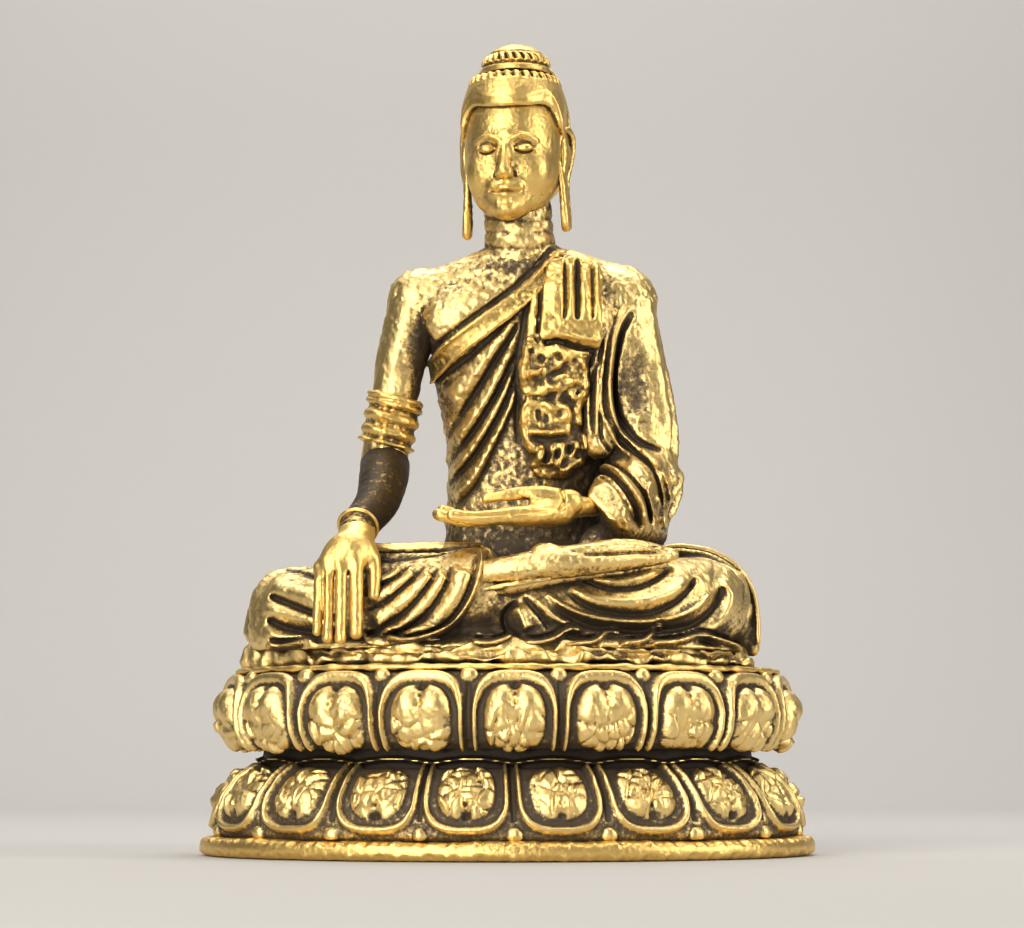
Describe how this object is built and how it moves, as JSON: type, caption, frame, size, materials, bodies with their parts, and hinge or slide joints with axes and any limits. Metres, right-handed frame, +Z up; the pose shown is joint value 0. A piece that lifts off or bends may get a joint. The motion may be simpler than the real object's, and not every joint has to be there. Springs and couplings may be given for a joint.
{
  "type": "buddha statue",
  "caption": "Small seated Buddha in antique brass on an oval double lotus throne, one hand reaching down over the knee to touch the ground, the other open in the lap; stands free.",
  "frame": {"origin": "centre of the foot rim's flat underside", "axes": "+Z up, the figure faces -Y, +X towards the figure's own left"},
  "size_m": [0.034, 0.0254, 0.0456],
  "materials": {
    "bright_brass": "rubbed bright cast brass, finely pitted",
    "antique_brass": "cast brass with a dark wash left in every recess, raised edges rubbed bright",
    "dark_patina": "blackened brass, dull and dark brown"
  },
  "bodies": {
    "root": {"foot_rim": "bright_brass", "lower_lotus_tier": "antique_brass", "waist_band": "dark_patina", "upper_lotus_tier": "antique_brass", "seat_plate": "bright_brass", "seat_cloth": "antique_brass", "crossed_legs": "antique_brass", "torso": "antique_brass", "neck": "antique_brass", "head": "bright_brass", "hair_cap": "bright_brass", "hair_knot": "bright_brass", "right_ear": "bright_brass", "left_ear": "bright_brass", "right_upper_arm": "antique_brass", "arm_bands": "bright_brass", "right_forearm": "dark_patina", "wrist_bangle": "bright_brass", "right_hand": "bright_brass", "left_sleeve": "antique_brass", "left_hand": "bright_brass", "right_foot": "antique_brass", "robe_pleats": "antique_brass", "lap_drape": "antique_brass", "robe_hem_band": "bright_brass", "shoulder_cloth": "bright_brass"}
  },
  "joints": []
}
